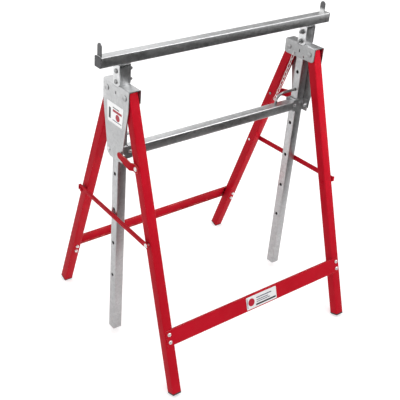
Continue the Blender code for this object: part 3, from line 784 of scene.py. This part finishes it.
def stop_welds():
    """Fillets on the beam's top, along both faces of each end stop."""
    for side in SIDES:
        low, high = corners("end_stop_" + side)
        middle, half = 0.5 * (low[0] + high[0]), high[1] - 0.0010
        for x in (low[0], high[0]):
            edge = "inner" if abs(x) < abs(middle) else "outer"
            start, end = (x, -half, BEAM_TOP), (x, half, BEAM_TOP)
            weld("stop_weld_" + edge + "_" + side, "lift", start, end, 0.0010, (0.0, 0.0, 1.0), 10)


def dress(name):
    """Gives one node its look and its finer shape, by the start of its name."""
    mesh = NODES[name].data
    mesh.materials.clear()
    mesh.materials.append(look_of(name))
    for start, width in FOLDED_EDGES.items():
        if name.startswith(start):
            refined(name, width)
    for start, sizes in BOLT_SIZES.items():
        if name.startswith(start):
            bolt(name, *sizes)
    for start, sizes in RIVET_SIZES.items():
        if name.startswith(start):
            rivet(name, *sizes)
    if name.startswith("strut_stud"):
        stud(name)


for name in NODES:
    dress(name)
for side in SIDES:
    pin(side)
    chain(side)
    pin_ring(side)
    chain_hook(side)
    saddle_welds(side)
stop_welds()


# Studio

def level(x, y, z):
    """Corners of a level rectangle; x and y are (first, last)."""
    return [(x[0], y[0], z), (x[1], y[0], z), (x[1], y[1], z), (x[0], y[1], z)]


def upright(x, y, z):
    """Corners of a rectangle that faces along Y; x and z are (first, last)."""
    return [(x[0], y, z[0]), (x[1], y, z[0]), (x[1], y, z[1]), (x[0], y, z[1])]


def sheet_object(name, corners, material):
    """One four-cornered face, as a stage piece."""
    mesh = bpy.data.meshes.new(name)
    mesh.from_pydata(corners, [], [(0, 1, 2, 3)])
    mesh.materials.append(material)
    made = bpy.data.objects.new(name, mesh)
    bpy.context.scene.collection.objects.link(made)
    return made


def stage_floor():
    """A wide floor that glows a little, so that it stays pale."""
    s = Shader("studio_floor")
    s.set(Base_Color=(0.80, 0.80, 0.80, 1.0), Roughness=0.9, Specular_IOR_Level=0.0)
    s.set(Emission_Color=(1.0, 1.0, 1.0, 1.0), Emission_Strength=0.35)
    reach = (-30.0, 30.0)
    sheet_object("studio_floor", level(reach, reach, 0.0), s.material)


def flag(name, corners, axis, near, far):
    """A card seen by reflections alone; near and far are each a (distance along axis, shade)."""
    s = Shader(name)
    s.set(Roughness=1.0, Specular_IOR_Level=0.0)
    split = s.nodes.new("ShaderNodeSeparateXYZ")
    s.join(s.place, split.inputs["Vector"])
    fade = s.ranged(split.outputs[axis], 0.0, 1.0, near[0], far[0])
    tone = s.mixed(fade, (near[1],) * 3, (far[1],) * 3)
    s.join(tone, s.bsdf.inputs["Base Color"])
    card = sheet_object(name, corners, s.material)
    card.visible_camera = False
    card.visible_diffuse = False
    card.visible_shadow = False
    card.visible_transmission = False


def leg_flags():
    """Grey cards just off the right front leg, so that the metal beside it isn't tinted red."""
    low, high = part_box("front_leg_right")
    gap, depth = 0.003, 0.0265
    left, right = low[0] - gap, high[0] + gap
    rows = []
    for z in (0.28, 0.60):
        front = low[1] + LEG_SLOPE * z
        rows.append((front, front + depth + gap, z))
    (low_front, low_back, bottom), (high_front, high_back, top) = rows
    inner = [
        (left, low_back, bottom), (right, low_back, bottom),
        (right, high_back, top), (left, high_back, top),
    ]
    beside = [
        (left, low_front, bottom), (left, low_back, bottom),
        (left, high_back, top), (left, high_front, top),
    ]
    flag("leg_flag_inner", inner, "X", (0.0, 0.12), (1.0, 0.12))
    flag("leg_flag_side", beside, "X", (0.0, 0.14), (1.0, 0.14))


def flags():
    """Dark and pale cards on and round the floor, for the zinc to reflect."""
    flag("front_flag", level((-4.0, 4.0), (-5.0, -0.1), 0.002), "Y", (-0.26, 0.78), (-0.56, 0.012))
    flag("front_screen", upright((-4.0, 4.0), -5.0, (0.0, 4.0)), "Z", (2.5, 0.012), (4.0, 0.4))
    flag("left_flag", level((-5.0, 0.6), (-0.1, 4.0), 0.002), "Y", (0.1, 0.66), (0.75, 0.86))
    flag("right_flag", upright((0.75, 2.8), 1.1, (0.8, 2.6)), "X", (0.75, 0.55), (1.2, 0.30))
    flag("head_flag", level((-0.75, 0.0), (0.80, 1.7), 0.004), "Y", (0.8, 0.10), (1.7, 0.10))
    leg_flags()


def area_light(name, place, target, size, power, glossy=True, diffuse=True, spread=180.0):
    """A square light aimed at a target, which can be kept out of reflections or of diffuse light."""
    data = bpy.data.lights.new(name, "AREA")
    data.shape = "SQUARE"
    data.size = size
    data.spread = math.radians(spread)
    data.energy = power
    light = bpy.data.objects.new(name, data)
    bpy.context.scene.collection.objects.link(light)
    light.location = place
    aim = Vector(target) - Vector(place)
    light.rotation_euler = aim.to_track_quat("-Z", "Y").to_euler()
    light.visible_camera = False
    light.visible_glossy = glossy
    light.visible_diffuse = diffuse


def studio():
    """A pale floor and sky, fills for the whole front and for the top, and a light that glints on edges."""
    stage_floor()
    flags()
    world = bpy.data.worlds.new("studio")
    bpy.context.scene.world = world
    world.use_nodes = True
    background = world.node_tree.nodes["Background"]
    background.inputs["Color"].default_value = (1.0, 1.0, 1.0, 1.0)
    background.inputs["Strength"].default_value = 1.06
    top = (0.16, 0.0, 0.74)
    area_light("front_fill", (0.6, -3.0, 1.6), (0.0, 0.0, 0.4), 2.2, 24.0, glossy=False)
    area_light("top_fill", (1.0, -2.0, 1.45), top, 0.5, 1.3, glossy=False, spread=31.0)
    area_light("edge_light", (1.3, -1.3, 2.5), (0.0, 0.0, 0.75), 0.7, 26.0, diffuse=False)


def camera():
    """The view from the front left and above, rolled a little."""
    place = Vector((-1.1382, -1.2994, 1.3685))
    yaw, pitch, roll = math.radians(35.42), math.radians(-29.22), math.radians(2.61)
    forward = Vector(
        (math.sin(yaw) * math.cos(pitch), math.cos(yaw) * math.cos(pitch), math.sin(pitch))
    )
    level_right = Vector((math.cos(yaw), -math.sin(yaw), 0.0))
    upward = level_right.cross(forward)
    right = math.cos(roll) * level_right + math.sin(roll) * upward
    up = -math.sin(roll) * level_right + math.cos(roll) * upward
    data = bpy.data.cameras.new("camera")
    data.lens = 67.25
    data.sensor_width = 36.0
    data.shift_x = 0.1401
    data.shift_y = -0.0750
    data.clip_start = 0.05
    made = bpy.data.objects.new("camera", data)
    bpy.context.scene.collection.objects.link(made)
    turn = Matrix((right, up, -forward)).transposed()
    made.matrix_world = Matrix.Translation(place) @ turn.to_4x4()
    bpy.context.scene.camera = made
    bpy.context.scene.view_settings.view_transform = "Standard"


studio()
camera()
